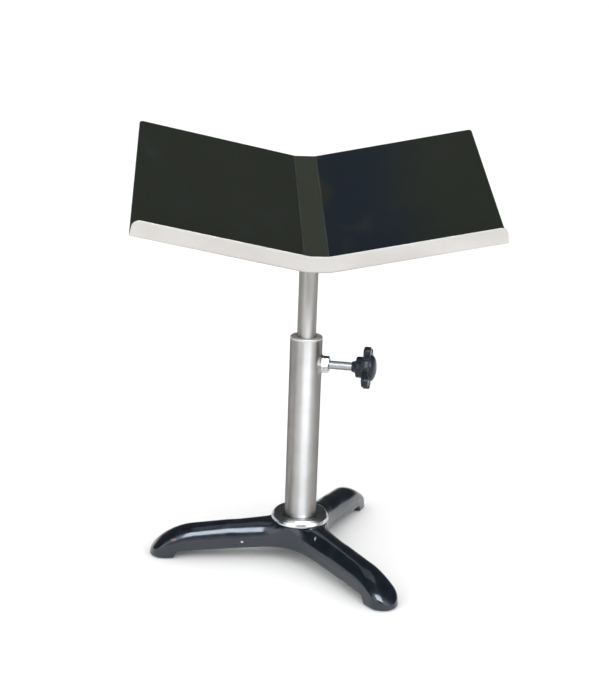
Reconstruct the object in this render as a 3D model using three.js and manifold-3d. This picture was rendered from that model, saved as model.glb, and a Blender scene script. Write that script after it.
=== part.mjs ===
// Book stand: an open-book tray on a telescopic post, clamped by a star knob, on a cast tripod base.
// Millimetres, +Z up. The column's axis is the Z axis, z = 0 is the floor, and the tray's front faces -Y.
import * as THREE from "three";
import { mergeVertices } from "three/addons/utils/BufferGeometryUtils.js";
import Module from "manifold-3d";

const wasm = await Module();
wasm.setup();

const RAD = Math.PI / 180;
const RUN = 0.05; // gap between two pieces whose flat faces meet
const FIT = 0.2; // radial gap between a turned piece and the hole it sits in

// ---- Driving dimensions ------------------------------------------------------------------------

// Cast tripod base
const BASE_TURN = 0.8; // how far the base stands turned under the tray
const LEG_ANGLES = [180, -60, 60].map((angle) => angle + BASE_TURN);
const LEG_END = 163; // radius at which the foot's round end is centred
const LEG_HALF = 18.5; // half width of a leg at the foot
const LEG_BLEND = 2.1; // exponent that sets how fully the legs flow into the hub
const HUB_TOP = 46;
const HUB_SEAT = 31; // radius of the flat seat under the rosette
const SIDE_TOP = 18; // height at which a leg's side turns into its rounded top
const RIDGE_START = 50.7; // height of a leg's ridge line, carried back to the column's axis
const RIDGE_FALL = 0.101; // ridge drop per millimetre outwards
const NOSE_START = 130;
const ARCH_HUB = 18; // underside height at the hub
const ARCH_FALL = 0.062;
const PAD_INNER = 149; // where the underside starts stepping down to the foot pad
const PAD_OUTER = 155;
const EDGE = 3; // rounding of the lower edges

// Column
const TUBE_R = 19.05;
const TUBE_WALL = 1.5;
const TUBE_BOTTOM = 40.3;
const TUBE_TOP = 271.8;
const COLUMN_TOP = 274.8;
const SOCKET_FLOOR = 40;
const SOCKET_R = TUBE_R + 0.3;
const ROSETTE_R = 35;
const ROSETTE_H = 8.8;
const FOOT_PLUG_TOP = 55;
const BUSH_BOTTOM = 254.8;

// Base bolt, M12
const BOLT_R = 6;
const BOLT_TOP = 53.7;
const BOLT_HEAD = 7.5;
const BOLT_AF = 18;
const RECESS_R = 16;
const RECESS_TOP = 30;

// Clamp, M10
const CLAMP_Z = 241.9;
const CLAMP_AZ = -15;
const SCREW_R = 4.9;
const NUT_AF = 18;
const NUT_TURN = 30; // puts two of the nut's flats level
const NUT_IN = 19.6;
const NUT_OUT = 28.4;
const BEAD_WIDE = 11.4; // half width and half height of the weld round the nut
const BEAD_HIGH = 12.2;
const KNOB_START = 55.3; // distances along the clamp axis, from the column's axis
const KNOB_HUB = 60.3;
const LOBE_IN = 69;
const LOBE_OUT = 77.2;
const KNOB_END = 84.1;
const KNOB_R = 25;
const KNOB_WAIST = 14.6;
const LOBE_HALF = 7.1; // half width of a lobe
const LOBES = 6;
const LOBE_PHASE = 37;
const DOME_R = 15.4;

// Post
const POST_R = 11.1;
const POST_WALL = 1.5;
const POST_BOTTOM = 178.2;
const GUIDE_BOTTOM = 174;
const GUIDE_TOP = 198;
const GUIDE_R = 17.3;

// Tray, in its own frame: x across, y up the slope, n out of the reading surface
const TRAY_Z = 425;
const TILT = 22;
const WING_RISE = 12.8;
const SPINE_HALF = 12;
const WING = 191;
const FRONT = 130;
const BACK = 121;
const LIP = 20;
const SHEET = 1.2;
const FACE = 0.5;
const BEND = 2; // inside bend radius between the wings and the lip
const LIP_CORNER = 8;
const BACK_CORNER = 4;
const PLATE_T = 3;
const PLATE_W = 22;
const PLATE_L = 100;

// ---- Geometry helpers --------------------------------------------------------------------------

// A surface of revolution about Z from a closed loop of [radius, height] points, or from a line
// that starts and ends on the axis.
function turned(points, segments = 48) {
  const onAxis = points[0][0] === 0 && points[points.length - 1][0] === 0;
  const loop = onAxis ? points.slice() : [...points, points[0]];
  let area = 0;
  for (let i = 0; i < loop.length; i++) {
    const [r0, z0] = loop[i];
    const [r1, z1] = loop[(i + 1) % loop.length];
    area += r0 * z1 - r1 * z0;
  }
  if (area < 0) loop.reverse();
  const profile = loop.map(([r, z]) => new THREE.Vector2(r, z));
  return new THREE.LatheGeometry(profile, segments).rotateX(Math.PI / 2);
}

const ring = (inner, outer, low, high, segments) =>
  turned([[inner, low], [outer, low], [outer, high], [inner, high]], segments);

const rod = (radius, low, high, segments) =>
  turned([[0, low], [radius, low], [radius, high], [0, high]], segments);

// A hexagonal prism across flats af, with flats facing the local x axis.
function hexagon(af, low, high) {
  const shape = new THREE.Shape();
  for (let k = 0; k < 6; k++) {
    const a = (k * 60 + 30) * RAD;
    const r = af / Math.sqrt(3);
    shape[k ? "lineTo" : "moveTo"](r * Math.cos(a), r * Math.sin(a));
  }
  shape.closePath();
  const depth = high - low;
  return new THREE.ExtrudeGeometry(shape, { depth, bevelEnabled: false }).translate(0, 0, low);
}

// A closed solid for boolean work, from a geometry.
function solid(geometry) {
  const bare = new THREE.BufferGeometry();
  bare.setAttribute("position", geometry.getAttribute("position"));
  bare.setIndex(geometry.index);
  const merged = mergeVertices(bare, 1e-4);
  const from = merged.index.array;
  const kept = [];
  for (let i = 0; i < from.length; i += 3) {
    const [a, b, c] = [from[i], from[i + 1], from[i + 2]];
    if (a !== b && b !== c && c !== a) kept.push(a, b, c);
  }
  const vertProperties = new Float32Array(merged.attributes.position.array);
  const triVerts = new Uint32Array(kept);
  return new wasm.Manifold(new wasm.Mesh({ numProp: 3, vertProperties, triVerts }));
}

function geometryOf(body) {
  const mesh = body.getMesh();
  const geometry = new THREE.BufferGeometry();
  const position = new Float32Array(mesh.numVert * 3);
  for (let i = 0; i < mesh.numVert; i++) {
    for (let k = 0; k < 3; k++) position[i * 3 + k] = mesh.vertProperties[i * mesh.numProp + k];
  }
  geometry.setAttribute("position", new THREE.BufferAttribute(position, 3));
  geometry.setIndex(new THREE.BufferAttribute(new Uint32Array(mesh.triVerts), 1));
  return geometry;
}

const cut = (geometry, ...tools) =>
  geometryOf(tools.reduce((body, tool) => body.subtract(solid(tool)), solid(geometry)));

const joined = (geometry, ...others) =>
  geometryOf(others.reduce((body, other) => body.add(solid(other)), solid(geometry)));

const mix = (a, b, k) => a + (b - a) * k;
const clamp01 = (v) => Math.min(1, Math.max(0, v));
const smooth = (v) => clamp01(v) ** 2 * (3 - 2 * clamp01(v));

// Collects quads and triangles, dropping any that have collapsed.
function faceList() {
  const vertices = [];
  const tidy = (v) => v.map((c) => Math.round(c * 1e4) / 1e4);
  const same = (a, b) => a.every((c, i) => Math.abs(c - b[i]) < 1e-6);
  const tri = (a, b, c) => {
    const corners = [tidy(a), tidy(b), tidy(c)];
    const flat = [0, 1, 2].some((i) => same(corners[i], corners[(i + 1) % 3]));
    if (!flat) vertices.push(...corners.flat());
  };
  const quad = (a, b, c, d) => {
    tri(a, b, c);
    tri(a, c, d);
  };
  const geometry = () => {
    const made = new THREE.BufferGeometry();
    made.setAttribute("position", new THREE.Float32BufferAttribute(vertices, 3));
    return mergeVertices(made, 1e-4);
  };
  return { tri, quad, geometry };
}

// ---- Cast tripod base --------------------------------------------------------------------------

const TIP = LEG_END + LEG_HALF;

// Distance from a point to the nearest leg's centre line, blended so that the legs flow together.
function legDistance(x, y) {
  let sum = 0;
  for (const angle of [0, 120, -120]) {
    const [c, s] = [Math.cos(angle * RAD), Math.sin(angle * RAD)];
    const along = Math.min(LEG_END, Math.max(0, x * c + y * s));
    const away = Math.hypot(x - along * c, y - along * s);
    sum += Math.max(away, 1e-3) ** -LEG_BLEND;
  }
  return sum ** (-1 / LEG_BLEND);
}

// Half width of the outline at s along a leg, on the contour where legDistance is the given value.
function outline(s, contour) {
  const sector = s * Math.tan(60 * RAD);
  if (legDistance(s, sector) <= contour) return sector;
  if (s >= LEG_END + contour) return 0;
  let [low, high] = [0, Math.min(sector, 60)];
  if (legDistance(s, low) >= contour) return 0;
  for (let i = 0; i < 50; i++) {
    const middle = (low + high) / 2;
    if (legDistance(s, middle) < contour) low = middle;
    else high = middle;
  }
  return low;
}

// The s at which the outline leaves the border between two legs.
function cornerOf(contour) {
  let [low, high] = [0, 60];
  for (let i = 0; i < 50; i++) {
    const middle = (low + high) / 2;
    if (legDistance(middle, middle * Math.tan(60 * RAD)) <= contour) low = middle;
    else high = middle;
  }
  return low;
}

const noseScale = (s) => Math.max(0, 1 - clamp01((s - NOSE_START) / (TIP - NOSE_START)) ** 2) ** 0.7;

function topHeight(x, y, halfWidth) {
  const r = Math.hypot(x, y);
  const far = smooth((x - 50) / 30);
  const along = mix(r, x, far);
  const across = mix(legDistance(x, y) / LEG_HALF, Math.abs(y) / Math.max(halfWidth, 1e-6), far);
  const scale = noseScale(along);
  const rise = 2.2 * smooth((65 - along) / 30);
  const ridge = mix(4, RIDGE_START - RIDGE_FALL * along + rise, scale);
  const side = mix(4, SIDE_TOP, scale);
  const leg = side + (ridge - side) * Math.sqrt(Math.max(0, 1 - clamp01(across) ** 2.4));
  if (r > 60) return Math.min(leg, HUB_TOP);
  const past = Math.max(0, r - HUB_SEAT);
  const boss = SIDE_TOP + (HUB_TOP - SIDE_TOP) * Math.exp(-((past / 6.5) ** 1.6));
  return Math.min(HUB_TOP, Math.max(leg, boss));
}

const underHeight = (x, y) => {
  const r = Math.hypot(x, y);
  return (ARCH_HUB - ARCH_FALL * r) * (1 - smooth((r - PAD_INNER) / (PAD_OUTER - PAD_INNER)));
};

function castingShell() {
  const corner = cornerOf(LEG_HALF);
  const lowerCorner = cornerOf(LEG_HALF - EDGE);
  const hub = [0, 0.3, 0.6, 0.85, 1].map((k) => k * corner);
  const leg = [22, 27, 33, 40, 48, 58, 72, 90, 110, 128, 140, PAD_INNER, PAD_INNER + 3, PAD_OUTER];
  const nose = [158.5, 162, 166, 170, 173.5, 176.5, 179, 180.6, TIP];
  const stations = [...hub, ...leg, ...nose];
  const last = hub.length - 1;
  const across = 14;
  const spread = Array.from({ length: across + 1 }, (_, j) => Math.sin((j / across - 0.5) * Math.PI));
  const faces = faceList();
  for (const angle of LEG_ANGLES) {
    const [c, s] = [Math.cos(angle * RAD), Math.sin(angle * RAD)];
    const turn = ([x, y, z]) => [x * c - y * s, x * s + y * c, z];
    const rows = stations.map((at, i) => {
      const half = outline(at, LEG_HALF);
      const lag = i <= last ? at * (1 - lowerCorner / corner) : EDGE;
      const inner = at - mix(corner - lowerCorner, lag, clamp01((at - corner) / 20));
      const under = i <= last ? at * (lowerCorner / corner) : inner;
      const underHalf = i <= last ? under * Math.tan(60 * RAD) : outline(under, LEG_HALF - EDGE);
      const top = spread.map((t) => turn([at, half * t, topHeight(at, half * t, half)]));
      const edgeZ = (side) => underHeight(at, half * side) + EDGE * (at > PAD_INNER ? 1 : 0.8);
      const edges = [-1, 1].map((side) => turn([at, half * side, edgeZ(side)]));
      const bottom = spread.map((t) =>
        turn([under, underHalf * t, underHeight(under, underHalf * t)]),
      );
      return { top, edges, bottom };
    });
    for (let i = 0; i + 1 < rows.length; i++) {
      const [a, b] = [rows[i], rows[i + 1]];
      for (let j = 0; j < across; j++) {
        faces.quad(a.top[j], b.top[j], b.top[j + 1], a.top[j + 1]);
        faces.quad(a.bottom[j], a.bottom[j + 1], b.bottom[j + 1], b.bottom[j]);
      }
      if (i < last) continue;
      faces.quad(a.bottom[0], b.bottom[0], b.edges[0], a.edges[0]);
      faces.quad(a.edges[0], b.edges[0], b.top[0], a.top[0]);
      faces.quad(b.bottom[across], a.bottom[across], a.edges[1], b.edges[1]);
      faces.quad(b.edges[1], a.edges[1], a.top[across], b.top[across]);
    }
  }
  return faces.geometry();
}

const boreProfile = [
  [0, -1],
  [RECESS_R, -1],
  [RECESS_R, RECESS_TOP],
  [BOLT_R + 0.6, RECESS_TOP],
  [BOLT_R + 0.6, SOCKET_FLOOR],
  [SOCKET_R, SOCKET_FLOOR],
  [SOCKET_R, HUB_TOP + 5],
  [0, HUB_TOP + 5],
];
const baseCasting = cut(castingShell(), turned(boreProfile));

// The rosette hides the joint: a domed rim with a rounded crest, and a shallow dish inside it.
const rosetteTop = HUB_TOP + RUN + ROSETTE_H;
const baseRosette = turned([
  [TUBE_R + 0.3, HUB_TOP + RUN],
  [ROSETTE_R, HUB_TOP + RUN],
  [ROSETTE_R, HUB_TOP + 1.3],
  [ROSETTE_R - 0.6, rosetteTop - 5.2],
  [ROSETTE_R - 2, rosetteTop - 2.6],
  [ROSETTE_R - 3.8, rosetteTop - 0.8],
  [ROSETTE_R - 6, rosetteTop],
  [ROSETTE_R - 8.5, rosetteTop - 0.4],
  [ROSETTE_R - 12, rosetteTop - 1.6],
  [TUBE_R + 0.3, rosetteTop - 2.2],
]);

// ---- Column and base bolt ----------------------------------------------------------------------

const clampFrame = new THREE.Matrix4().makeBasis(
  new THREE.Vector3(-Math.sin(CLAMP_AZ * RAD), Math.cos(CLAMP_AZ * RAD), 0),
  new THREE.Vector3(0, 0, 1),
  new THREE.Vector3(Math.cos(CLAMP_AZ * RAD), Math.sin(CLAMP_AZ * RAD), 0),
);
clampFrame.setPosition(0, 0, CLAMP_Z);
const onClamp = (geometry) => geometry.applyMatrix4(clampFrame);

const tubeInner = TUBE_R - TUBE_WALL;
const columnTube = cut(
  ring(tubeInner, TUBE_R, TUBE_BOTTOM, TUBE_TOP),
  onClamp(rod(SCREW_R + 0.4, 12, 25, 32)),
);

const footPlug = ring(BOLT_R + FIT, tubeInner - FIT, TUBE_BOTTOM, FOOT_PLUG_TOP);

const washerTop = RECESS_TOP - RUN;
const washerBottom = washerTop - 2.5;
const springTop = washerBottom - RUN;
const springBottom = springTop - 3;
const headTop = springBottom - RUN;
const flatWasher = ring(BOLT_R + 0.5, 12, washerBottom, washerTop);
const springCoil = ring(BOLT_R + 0.5, 10.4, springBottom, springTop);
const springSlot = new THREE.BoxGeometry(12, 2.2, 12)
  .rotateX(35 * RAD)
  .translate(9, 0, (springTop + springBottom) / 2);
const springWasher = cut(springCoil, springSlot);
const baseBolt = joined(
  hexagon(BOLT_AF, headTop - BOLT_HEAD, headTop),
  rod(BOLT_R, headTop - 1, BOLT_TOP, 32),
);

// Reducer bush: a spigot inside the tube and a rounded collar flush with the tube's outside.
const bushInner = POST_R + FIT;
const reducerBush = turned([
  [bushInner, BUSH_BOTTOM],
  [tubeInner - FIT, BUSH_BOTTOM],
  [tubeInner - FIT, TUBE_TOP + RUN],
  [TUBE_R, TUBE_TOP + RUN],
  [TUBE_R, COLUMN_TOP - 2],
  [TUBE_R - 0.6, COLUMN_TOP - 0.6],
  [TUBE_R - 2, COLUMN_TOP],
  [bushInner + 0.8, COLUMN_TOP],
  [bushInner, COLUMN_TOP - 0.8],
]);

// ---- Clamp: welded nut, screw, pressure pad and star knob --------------------------------------

const nutBore = rod(SCREW_R + FIT, NUT_IN - 6, NUT_OUT + 6, 32);
const nutRound = turned([
  [0, NUT_IN],
  [NUT_AF / 2 + 1.6, NUT_IN],
  [NUT_AF / 2 + 1.6, NUT_OUT - 1.2],
  [NUT_AF / 2 - 0.3, NUT_OUT],
  [0, NUT_OUT],
]);
const nutHexagon = (af, low, high) => hexagon(af, low, high).rotateZ(NUT_TURN * RAD);
const nutBlank = solid(nutHexagon(NUT_AF, NUT_IN, NUT_OUT)).intersect(solid(nutRound));
const clampNut = onClamp(cut(geometryOf(nutBlank), nutBore));

// The bead runs taller than it is wide, because it fills in above and below the nut's level flats.
const beadBlank = turned([
  [0, 12],
  [BEAD_HIGH, 12],
  [BEAD_HIGH, NUT_IN - 1.6],
  [BEAD_HIGH - 0.5, NUT_IN],
  [BEAD_HIGH - 1.5, NUT_IN + 1],
  [BEAD_HIGH - 2.8, NUT_IN + 1.6],
  [0, NUT_IN + 1.6],
]).scale(BEAD_WIDE / BEAD_HIGH, 1, 1);
const nutClearance = nutHexagon(NUT_AF + 2 * RUN, NUT_IN - RUN, NUT_OUT + 6);
const weldBead = cut(
  onClamp(cut(beadBlank, nutClearance, rod(SCREW_R + 0.4, 10, NUT_OUT, 32))),
  rod(TUBE_R + RUN, CLAMP_Z - 30, CLAMP_Z + 30),
);

const padFace = POST_R + 0.1;
const screwTip = padFace + 2.3;
const screwEnd = LOBE_OUT - 4.5;
const clampScrew = onClamp(
  turned(
    [
      [0, screwTip + 4],
      [2.2, screwTip + 4],
      [2.2, screwTip],
      [SCREW_R - 0.9, screwTip],
      [SCREW_R, screwTip + 0.9],
      [SCREW_R, screwEnd - 1],
      [SCREW_R - 1, screwEnd],
      [0, screwEnd],
    ],
    32,
  ),
);
const pressurePad = onClamp(
  turned(
    [
      [0, padFace],
      [3.9, padFace],
      [4.4, padFace + 0.5],
      [4.4, screwTip - RUN],
      [2, screwTip - RUN],
      [2, screwTip + 3.6],
      [0, screwTip + 3.6],
    ],
    32,
  ),
);

const insertIn = KNOB_HUB + 1;
const insertOut = insertIn + 13.4;
const insertR = 7.5;
const knobInsert = onClamp(
  turned(
    [
      [0, insertOut],
      [insertR, insertOut],
      [insertR, insertIn],
      [SCREW_R + FIT, insertIn],
      [SCREW_R + FIT, screwEnd + 0.3],
      [0, screwEnd + 0.3],
    ],
    32,
  ),
);

// Blunt, square-ended lobes: each is a rounded block, and the blocks run into a round waist.
function lobeRadius(a) {
  const step = (2 * Math.PI) / LOBES;
  const turns = (a - LOBE_PHASE * RAD) / step;
  const off = (turns - Math.round(turns)) * step;
  const along = Math.abs(Math.cos(off)) / KNOB_R;
  const across = Math.abs(Math.sin(off)) / LOBE_HALF;
  const block = (along ** 12 + across ** 12) ** (-1 / 12);
  return (block ** 9 + KNOB_WAIST ** 9) ** (1 / 9);
}

function lobePlate() {
  const bevel = 1.1;
  const shape = new THREE.Shape();
  const steps = 132;
  for (let i = 0; i < steps; i++) {
    const a = (i / steps) * 2 * Math.PI;
    const r = lobeRadius(a) - bevel;
    shape[i ? "lineTo" : "moveTo"](r * Math.cos(a), r * Math.sin(a));
  }
  shape.closePath();
  const options = {
    depth: LOBE_OUT - LOBE_IN - 2 * bevel,
    bevelEnabled: true,
    bevelThickness: bevel,
    bevelSize: bevel,
    bevelSegments: 2,
  };
  return new THREE.ExtrudeGeometry(shape, options).translate(0, 0, LOBE_IN + bevel);
}
const knobCore = turned([
  [0, KNOB_START],
  [5.9, KNOB_START],
  [6.3, KNOB_START + 0.6],
  [6.9, KNOB_START + 2.8],
  [8.2, KNOB_HUB - 0.3],
  [11.4, KNOB_HUB + 0.1],
  [12.4, KNOB_HUB + 1.2],
  [12.9, LOBE_IN + 1],
  [DOME_R, LOBE_OUT - 1],
  [DOME_R, LOBE_OUT + 0.5],
  [DOME_R - 1.2, LOBE_OUT + 2.1],
  [DOME_R - 4.6, LOBE_OUT + 3.9],
  [DOME_R - 9.8, KNOB_END - 0.3],
  [0, KNOB_END],
]);
const knobBore = turned([
  [0, KNOB_START - 1],
  [SCREW_R + FIT, KNOB_START - 1],
  [SCREW_R + FIT, insertIn - RUN],
  [insertR + FIT, insertIn - RUN],
  [insertR + FIT, insertOut + RUN],
  [0, insertOut + RUN],
]);
const knobBody = onClamp(cut(joined(knobCore, lobePlate()), knobBore));

// ---- Post and its guide ------------------------------------------------------------------------

const slope = Math.tan(TILT * RAD);
const undersideN = -(FACE + SHEET + 2 * RUN); // top of the support plate, in the tray's frame
const plateBottomN = undersideN - PLATE_T;
const mitreZ = TRAY_Z + (plateBottomN - RUN) / Math.cos(TILT * RAD);

// Cuts the top of an upright piece parallel to the tray: every vertex above z follows the slope.
function mitred(geometry, from) {
  const position = geometry.getAttribute("position");
  for (let i = 0; i < position.count; i++) {
    if (position.getZ(i) < from) continue;
    position.setZ(i, position.getZ(i) + position.getY(i) * slope);
  }
  return geometry;
}

const postTube = mitred(ring(POST_R - POST_WALL, POST_R, POST_BOTTOM, mitreZ), mitreZ - 1);
const postWeld = mitred(
  turned([
    [POST_R + FIT, mitreZ - 4.6],
    [POST_R + 1.6, mitreZ - 3.4],
    [POST_R + 3, mitreZ - 1.7],
    [POST_R + 3.8, mitreZ],
    [POST_R + FIT, mitreZ],
  ]),
  mitreZ - 10,
);

const endPlugR = POST_R - POST_WALL - FIT;
const postEndPlug = ring(4 + FIT, endPlugR, POST_BOTTOM, POST_BOTTOM + 12);
const postGuide = turned([
  [4.6, GUIDE_BOTTOM],
  [GUIDE_R - 1, GUIDE_BOTTOM],
  [GUIDE_R, GUIDE_BOTTOM + 1],
  [GUIDE_R, GUIDE_TOP - 1],
  [GUIDE_R - 1, GUIDE_TOP],
  [POST_R + FIT, GUIDE_TOP],
  [POST_R + FIT, POST_BOTTOM - RUN],
  [4.6, POST_BOTTOM - RUN],
]);
const guideWasherTop = GUIDE_BOTTOM - RUN;
const guideWasher = ring(4.4, 8, guideWasherTop - 1.6, guideWasherTop, 32);
const guideHeadTop = guideWasherTop - 1.6 - RUN;
const guideScrew = joined(
  hexagon(13, guideHeadTop - 5.3, guideHeadTop),
  rod(4, guideHeadTop - 1, POST_BOTTOM + 10, 32),
);

// ---- Tray --------------------------------------------------------------------------------------

const trayFrame = new THREE.Matrix4().makeRotationX(TILT * RAD);
trayFrame.setPosition(0, 0, TRAY_Z);
const onTray = (geometry) => geometry.applyMatrix4(trayFrame);

// The point at distance a along the folded sheet from the spine's middle, raised n off its surface.
// On a fold the direction halves the angle, so that both sides meet on one mitre.
function folded(a, y, n) {
  const side = Math.sign(a);
  const out = Math.abs(a) - SPINE_HALF;
  const onFold = Math.abs(out) < 1e-9;
  const rise = (out < -1e-9 ? 0 : onFold ? WING_RISE / 2 : WING_RISE) * RAD;
  const lift = onFold ? n / Math.cos(rise) : n;
  const run = Math.max(0, out);
  const x = Math.min(Math.abs(a), SPINE_HALF) + run * Math.cos(rise) - lift * Math.sin(rise);
  return [side * x, y, run * Math.sin(rise) + lift * Math.cos(rise)];
}

// Sweeps a [y, n] profile, which may change with the station, along the folded sheet.
function sweptSheet(stations, profileAt) {
  const faces = faceList();
  const rows = stations.map((a) => profileAt(a).map(([y, n]) => folded(a, y, n)));
  const count = rows[0].length;
  for (let i = 0; i + 1 < rows.length; i++) {
    for (let j = 0; j < count; j++) {
      const k = (j + 1) % count;
      faces.quad(rows[i][j], rows[i + 1][j], rows[i + 1][k], rows[i][k]);
    }
  }
  const capOf = (a) => {
    const flat = profileAt(a).map(([y, n]) => new THREE.Vector2(y, n));
    return THREE.ShapeUtils.triangulateShape(flat, []);
  };
  for (const [a, b, c] of capOf(stations[0])) faces.tri(rows[0][c], rows[0][b], rows[0][a]);
  const end = rows.length - 1;
  for (const [a, b, c] of capOf(stations[end])) faces.tri(rows[end][a], rows[end][b], rows[end][c]);
  return faces.geometry();
}

// How far a corner of the given radius cuts in, at distance d from the sheet's end.
const cornerCut = (radius, d) =>
  d >= radius ? 0 : radius - Math.sqrt(Math.max(0, radius ** 2 - (radius - d) ** 2));

function sheetProfile(a) {
  const d = SPINE_HALF + WING - Math.abs(a);
  const lipTop = LIP - cornerCut(LIP_CORNER, d);
  const back = BACK - cornerCut(BACK_CORNER, d);
  const top = -FACE - RUN;
  const under = top - SHEET;
  const outer = BEND + SHEET;
  const turnAt = -FRONT + outer;
  const arc = [0, 1, 2, 3].map((k) => (k * 30) * RAD);
  const outside = arc.map((t) => [
    turnAt - outer * Math.sin(t),
    under + outer - outer * Math.cos(t),
  ]);
  const inside = arc.map((t) => [turnAt - BEND * Math.cos(t), top + BEND - BEND * Math.sin(t)]);
  return [
    [back, under],
    ...outside,
    [-FRONT, lipTop],
    [-FRONT + SHEET, lipTop],
    ...inside,
    [back, top],
  ];
}

function halfStations(end, steps) {
  return [SPINE_HALF, 60, 110, 155, ...steps.map((d) => end - d)];
}
const mirrored = (half) => [...half.map((a) => -a).reverse(), ...half];

const sheetEnd = SPINE_HALF + WING;
const sheetStations = mirrored(halfStations(sheetEnd, [8, 6, 4, 2.6, 1.5, 0.7, 0.2, 0]));
const traySheet = onTray(sweptSheet(sheetStations, sheetProfile));

// The gloss black face is a thin sheet bonded over the reading surface, a little short of its edges.
const faceEnd = sheetEnd - 0.6;
const faceStations = mirrored(halfStations(faceEnd, [4, 2.6, 1.5, 0.7, 0.2, 0]));
const trayFace = onTray(
  sweptSheet(faceStations, (a) => {
    const back = BACK - 0.6 - cornerCut(BACK_CORNER, faceEnd - Math.abs(a));
    const front = -FRONT + SHEET + BEND + 0.2;
    return [[front, 0], [back, 0], [back, -FACE], [front, -FACE]];
  }),
);

const plateShape = new THREE.Shape();
const [plateX, plateY, plateCorner] = [PLATE_W / 2, PLATE_L / 2, 5];
for (let k = 0; k < 4; k++) {
  const cx = (k === 0 || k === 3 ? 1 : -1) * (plateX - plateCorner);
  const cy = (k < 2 ? 1 : -1) * (plateY - plateCorner);
  for (let i = 0; i <= 5; i++) {
    const a = (k * 90 + i * 18) * RAD;
    const [px, py] = [cx + plateCorner * Math.cos(a), cy + plateCorner * Math.sin(a)];
    plateShape[k || i ? "lineTo" : "moveTo"](px, py);
  }
}
plateShape.closePath();
const supportPlate = onTray(
  new THREE.ExtrudeGeometry(plateShape, { depth: PLATE_T, bevelEnabled: false }).translate(
    0,
    0,
    plateBottomN,
  ),
);

// ---- Assembly ----------------------------------------------------------------------------------

const material = (color, roughness, metalness) =>
  new THREE.MeshStandardMaterial({ color, roughness, metalness });
const enamel = material(0x14171a, 0.25, 0.1);
const mirrorSteel = material(0xd8dadc, 0.1, 1);
const satinSteel = material(0xb9b6b0, 0.35, 1);
const zincSteel = material(0xa9adb2, 0.4, 1);
const weldMetal = material(0x8f8b86, 0.55, 1);
const blackPlastic = material(0x15171a, 0.2, 0);
const glossBlack = material(0x1b1f20, 0.12, 0);
const brass = material(0xb5914c, 0.35, 1);
const nylon = material(0xe4e1d8, 0.6, 0);

const group = new THREE.Group();
function add(name, geometry, finish) {
  const mesh = new THREE.Mesh(geometry, finish);
  mesh.name = name;
  geometry.computeVertexNormals();
  group.add(mesh);
}

add("base_casting", baseCasting, enamel);
add("base_rosette", baseRosette, mirrorSteel);
add("base_bolt", baseBolt, zincSteel);
add("base_flat_washer", flatWasher, zincSteel);
add("base_spring_washer", springWasher, zincSteel);
add("column_tube", columnTube, satinSteel);
add("column_foot_plug", footPlug, zincSteel);
add("reducer_bush", reducerBush, satinSteel);
add("clamp_nut", clampNut, mirrorSteel);
add("clamp_weld_bead", weldBead, weldMetal);
add("clamp_screw", clampScrew, zincSteel);
add("pressure_pad", pressurePad, brass);
add("knob_insert", knobInsert, brass);
add("knob_body", knobBody, blackPlastic);
add("post_tube", postTube, satinSteel);
add("post_end_plug", postEndPlug, zincSteel);
add("post_guide", postGuide, nylon);
add("guide_washer", guideWasher, zincSteel);
add("guide_screw", guideScrew, zincSteel);
add("post_weld_bead", postWeld, weldMetal);
add("tray_support_plate", supportPlate, satinSteel);
add("tray_sheet", traySheet, satinSteel);
add("tray_face", trayFace, glossBlack);

export default group;
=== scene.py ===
"""Book stand: gloss black tray on a telescopic post with a star-knob clamp and a cast tripod base."""

import math

import bmesh
import bpy
from mathutils import Matrix, Vector


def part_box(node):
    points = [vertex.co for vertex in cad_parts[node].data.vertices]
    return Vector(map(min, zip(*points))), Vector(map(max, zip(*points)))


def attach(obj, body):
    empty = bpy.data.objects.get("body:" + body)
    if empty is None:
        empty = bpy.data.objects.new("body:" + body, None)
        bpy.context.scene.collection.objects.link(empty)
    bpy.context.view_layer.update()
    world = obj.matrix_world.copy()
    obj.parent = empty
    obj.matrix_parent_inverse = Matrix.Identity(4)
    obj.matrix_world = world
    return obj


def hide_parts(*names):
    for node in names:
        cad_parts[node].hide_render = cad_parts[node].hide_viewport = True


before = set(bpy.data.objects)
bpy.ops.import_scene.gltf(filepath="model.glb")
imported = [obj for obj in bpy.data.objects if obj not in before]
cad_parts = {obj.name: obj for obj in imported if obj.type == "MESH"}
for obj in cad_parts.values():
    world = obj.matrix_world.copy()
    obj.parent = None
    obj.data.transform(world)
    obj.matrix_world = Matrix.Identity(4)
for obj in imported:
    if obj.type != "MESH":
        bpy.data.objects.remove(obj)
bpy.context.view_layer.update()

MM = 0.001
RAD = math.pi / 180


def side(node, axis, end):
    """One coordinate of a CAD node's box, in millimetres: end 0 is its lowest, 1 its highest."""
    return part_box(node)[end][axis] / MM


# ---- Sizes, in millimetres ---------------------------------------------------------------------

TUBE_R = side("column_tube", 0, 1)
TUBE_WALL = 1.5
TUBE_LOW = side("column_tube", 2, 0)
TUBE_HIGH = side("column_tube", 2, 1)
COLUMN_TOP = side("reducer_bush", 2, 1)
BUSH_LOW = side("reducer_bush", 2, 0)
POST_R = side("post_tube", 0, 1)
POST_WALL = 1.5
POST_LOW = side("post_tube", 2, 0)
ROSETTE_R = side("base_rosette", 0, 1)
ROSETTE_LOW = side("base_rosette", 2, 0)
ROSETTE_HIGH = side("base_rosette", 2, 1)
HUB_TOP = side("base_casting", 2, 1)
LEG_TIP = -side("base_casting", 0, 0)
KNOB_AZ = -15 * RAD
CLAMP_Z = (side("clamp_screw", 2, 0) + side("clamp_screw", 2, 1)) / 2
SCREW_R = side("clamp_screw", 2, 1) - CLAMP_Z
HOLE_R = SCREW_R + 0.6
NUT_AF = 18
NUT_IN = 19.6
NUT_OUT = 28.4
KNOB_IN = 55.3
KNOB_HUB = 60.3
LOBE_IN = 69
LOBE_OUT = 77.2
KNOB_END = 84.1
KNOB_R = 25
DOME_R = 15.4
HOLE_START = 12

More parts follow.
